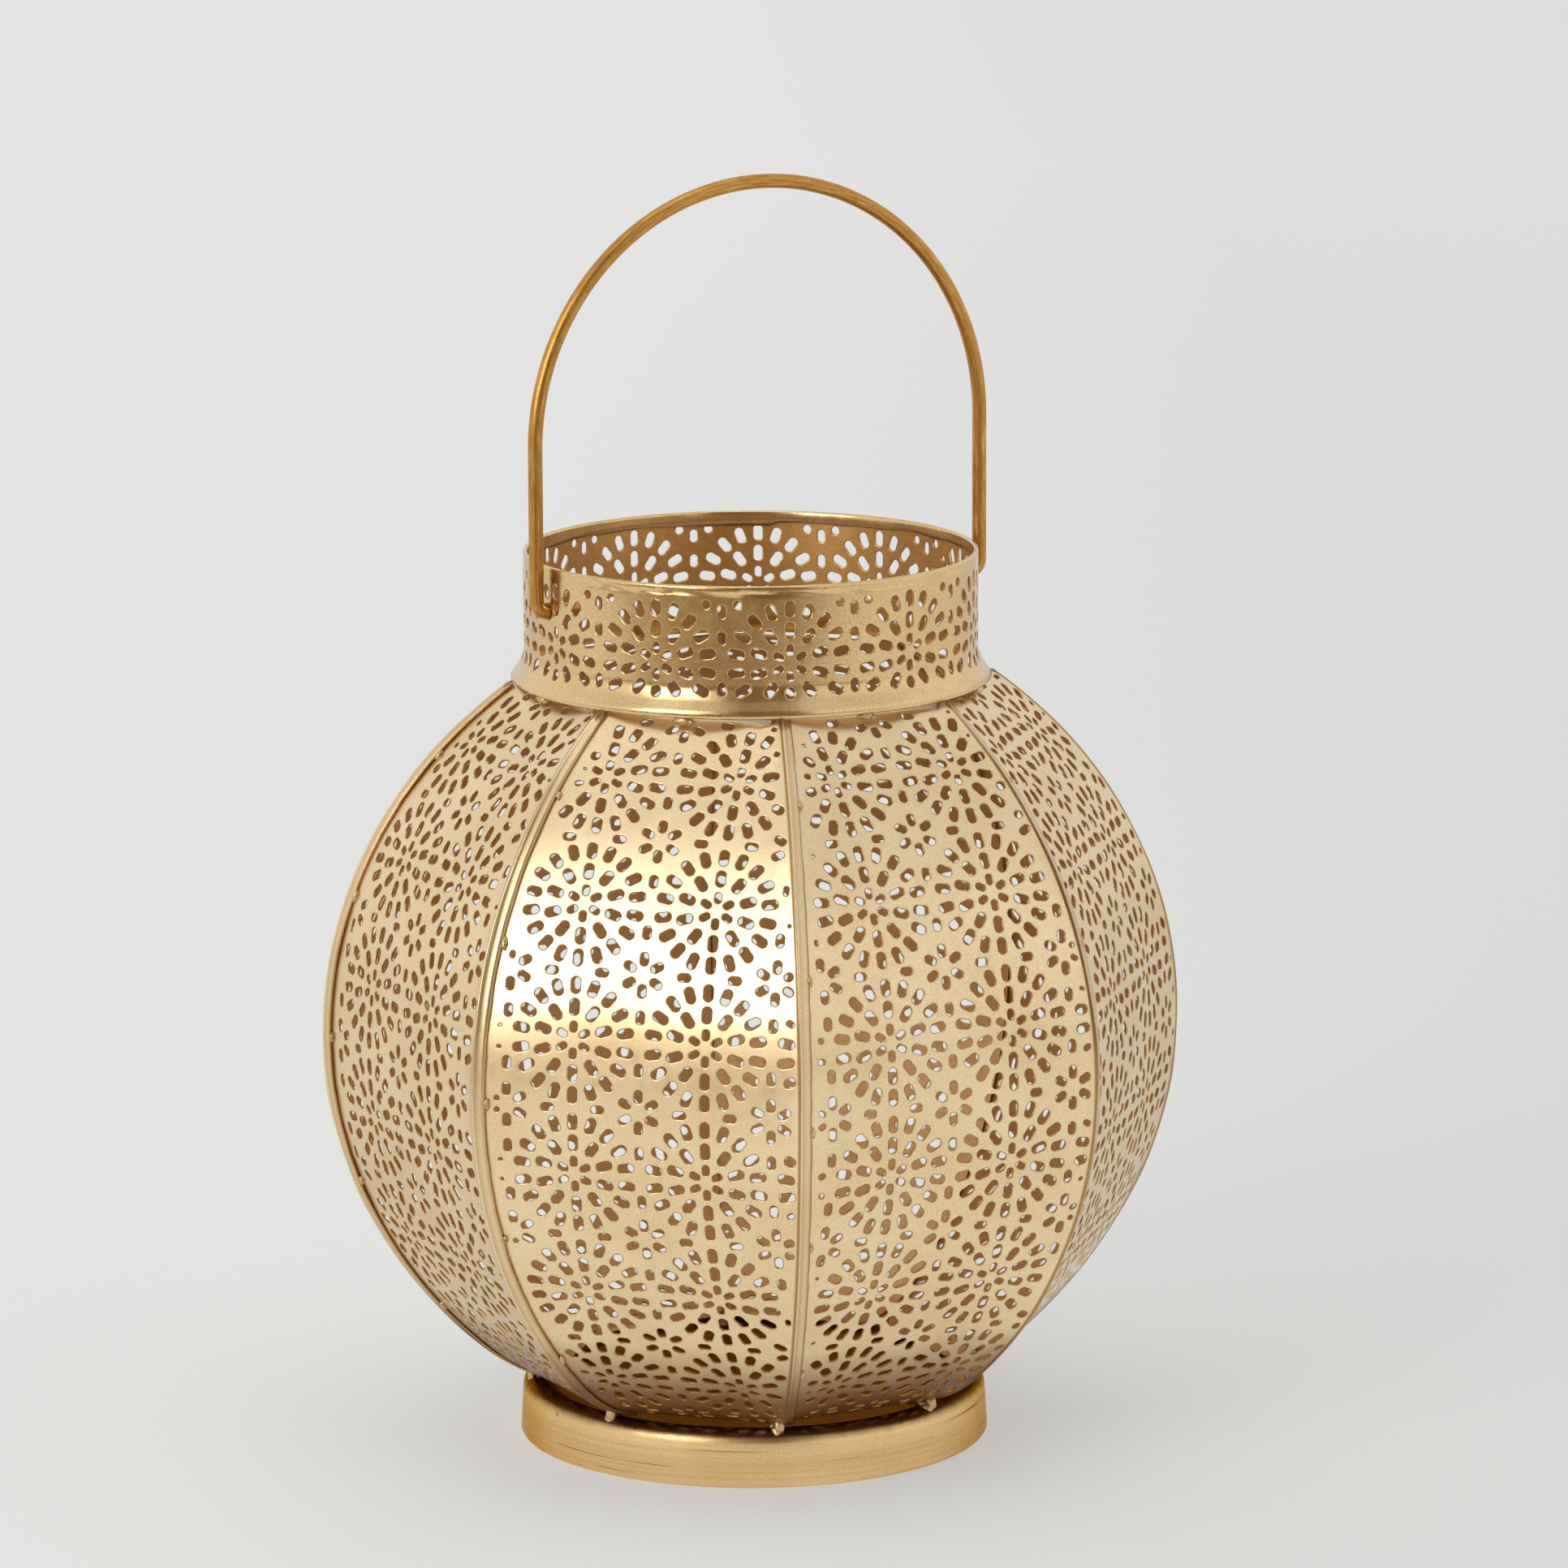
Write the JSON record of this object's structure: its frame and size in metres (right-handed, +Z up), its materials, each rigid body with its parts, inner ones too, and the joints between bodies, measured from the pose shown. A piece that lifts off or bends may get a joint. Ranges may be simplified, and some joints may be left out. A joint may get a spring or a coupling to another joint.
{
  "type": "hanging lantern",
  "caption": "Round pierced-metal candle lantern: rolled sheet panels between a round base and an open collar, with a swinging wire bail handle.",
  "frame": {"origin": "centre of the base's foot ring, on the surface the lantern stands on", "axes": "+Z up along the lantern's axis; +X along the bail's pivot line, towards the leg that stands further out"},
  "size_m": [0.2056, 0.2056, 0.3263],
  "materials": {
    "gore_sheet": "satin pale-gold metallic lacquer on pierced iron sheet",
    "collar_sheet": "satin pale-gold metallic lacquer, darker bronze inside",
    "base_sheet": "satin pale-gold metallic lacquer on spun iron sheet",
    "bail_wire": "streaky antique-gold lacquer on round iron wire",
    "solder": "rough solder under the same gold lacquer"
  },
  "bodies": {
    "lantern": {"gore_panel_1": "gore_sheet", "gore_panel_2": "gore_sheet", "gore_panel_3": "gore_sheet", "gore_panel_4": "gore_sheet", "gore_panel_5": "gore_sheet", "gore_panel_6": "gore_sheet", "gore_panel_7": "gore_sheet", "gore_panel_8": "gore_sheet", "base_dish": "base_sheet", "collar": "collar_sheet", "base_solder": "solder", "collar_solder": "solder", "seam_tacks": "solder"},
    "bail": {"bail_handle": "bail_wire"}
  },
  "joints": [
    {"name": "bail_swing", "type": "hinge", "parent": "lantern", "child": "bail", "pos_m": [0, 0, 0.2195], "axis": [1, 0, 0], "range_deg": [-118, 118]}
  ]
}
